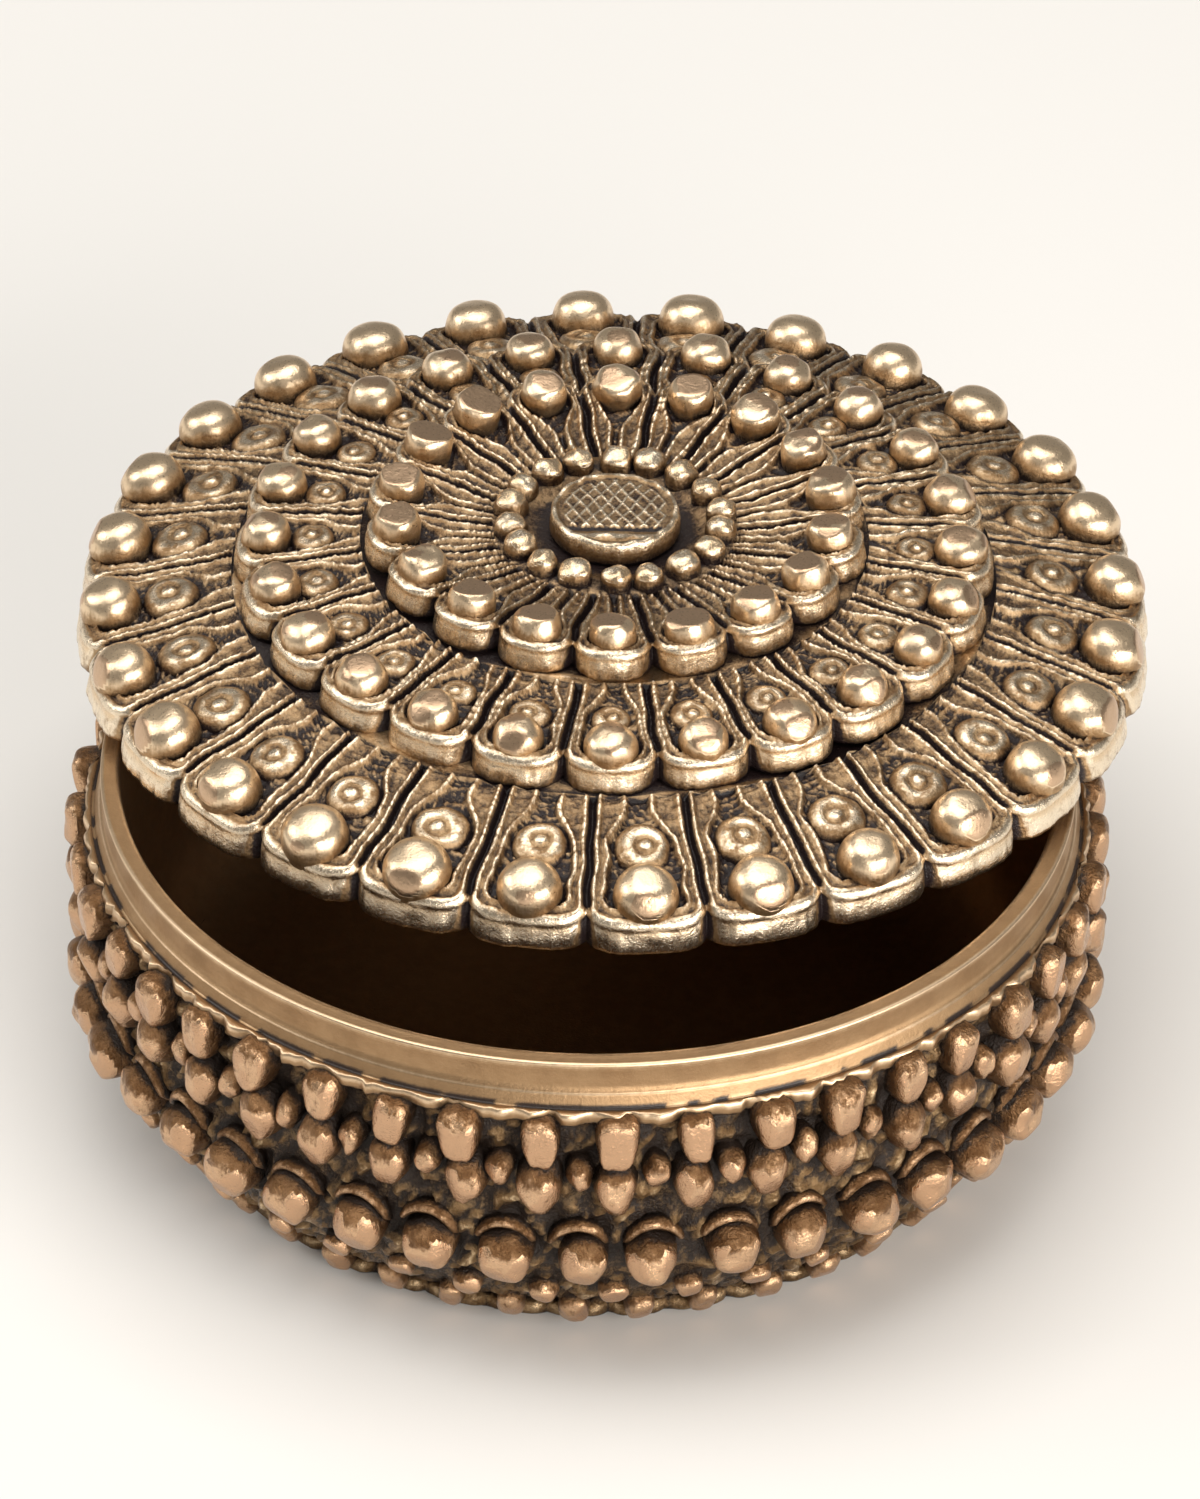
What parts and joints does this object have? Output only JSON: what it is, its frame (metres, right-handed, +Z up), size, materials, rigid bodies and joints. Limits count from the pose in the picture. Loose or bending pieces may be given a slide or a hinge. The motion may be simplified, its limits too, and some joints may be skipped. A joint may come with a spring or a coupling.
{
  "type": "kumkum box",
  "caption": "Small round brass box for vermilion powder: studded bowl with a plain turned collar, and a loose lid shaped as a tiered lotus with domed studs on its petals.",
  "frame": {"origin": "middle of the foot's flat underside, on the surface the box stands on", "axes": "+Z up along the bowl's axis; the lid lies ajar, pushed towards +Y"},
  "size_m": [0.076, 0.0894, 0.0392],
  "materials": {
    "turned_brass": "turned brass, toned golden brown, with fine lathe lines",
    "studded_brass": "cast brass with filed faces over near-black patina",
    "petal_brass": "cast brass, ridges rubbed bright over near-black patina in the hollows",
    "polished_brass": "hand-polished pale gold"
  },
  "bodies": {
    "base": {"bowl": "turned_brass", "foot_plate": "studded_brass", "ledge_pegs": "studded_brass", "small_studs": "studded_brass", "upper_studs": "studded_brass", "stud_arches": "studded_brass", "large_studs": "studded_brass", "lower_beads": "studded_brass", "foot_pegs": "studded_brass"},
    "lid": {"lid_register": "turned_brass", "lower_petals": "petal_brass", "rim_studs": "polished_brass", "lower_eyes": "petal_brass", "middle_petals": "petal_brass", "middle_studs": "polished_brass", "middle_eyes": "petal_brass", "top_petals": "petal_brass", "top_studs": "polished_brass", "bead_ring": "polished_brass", "seed_boss": "petal_brass"}
  },
  "joints": [
    {"name": "lid_lift", "type": "slide", "parent": "base", "child": "lid", "axis": [0, 0, 1], "range_m": [0, 0.05]}
  ]
}
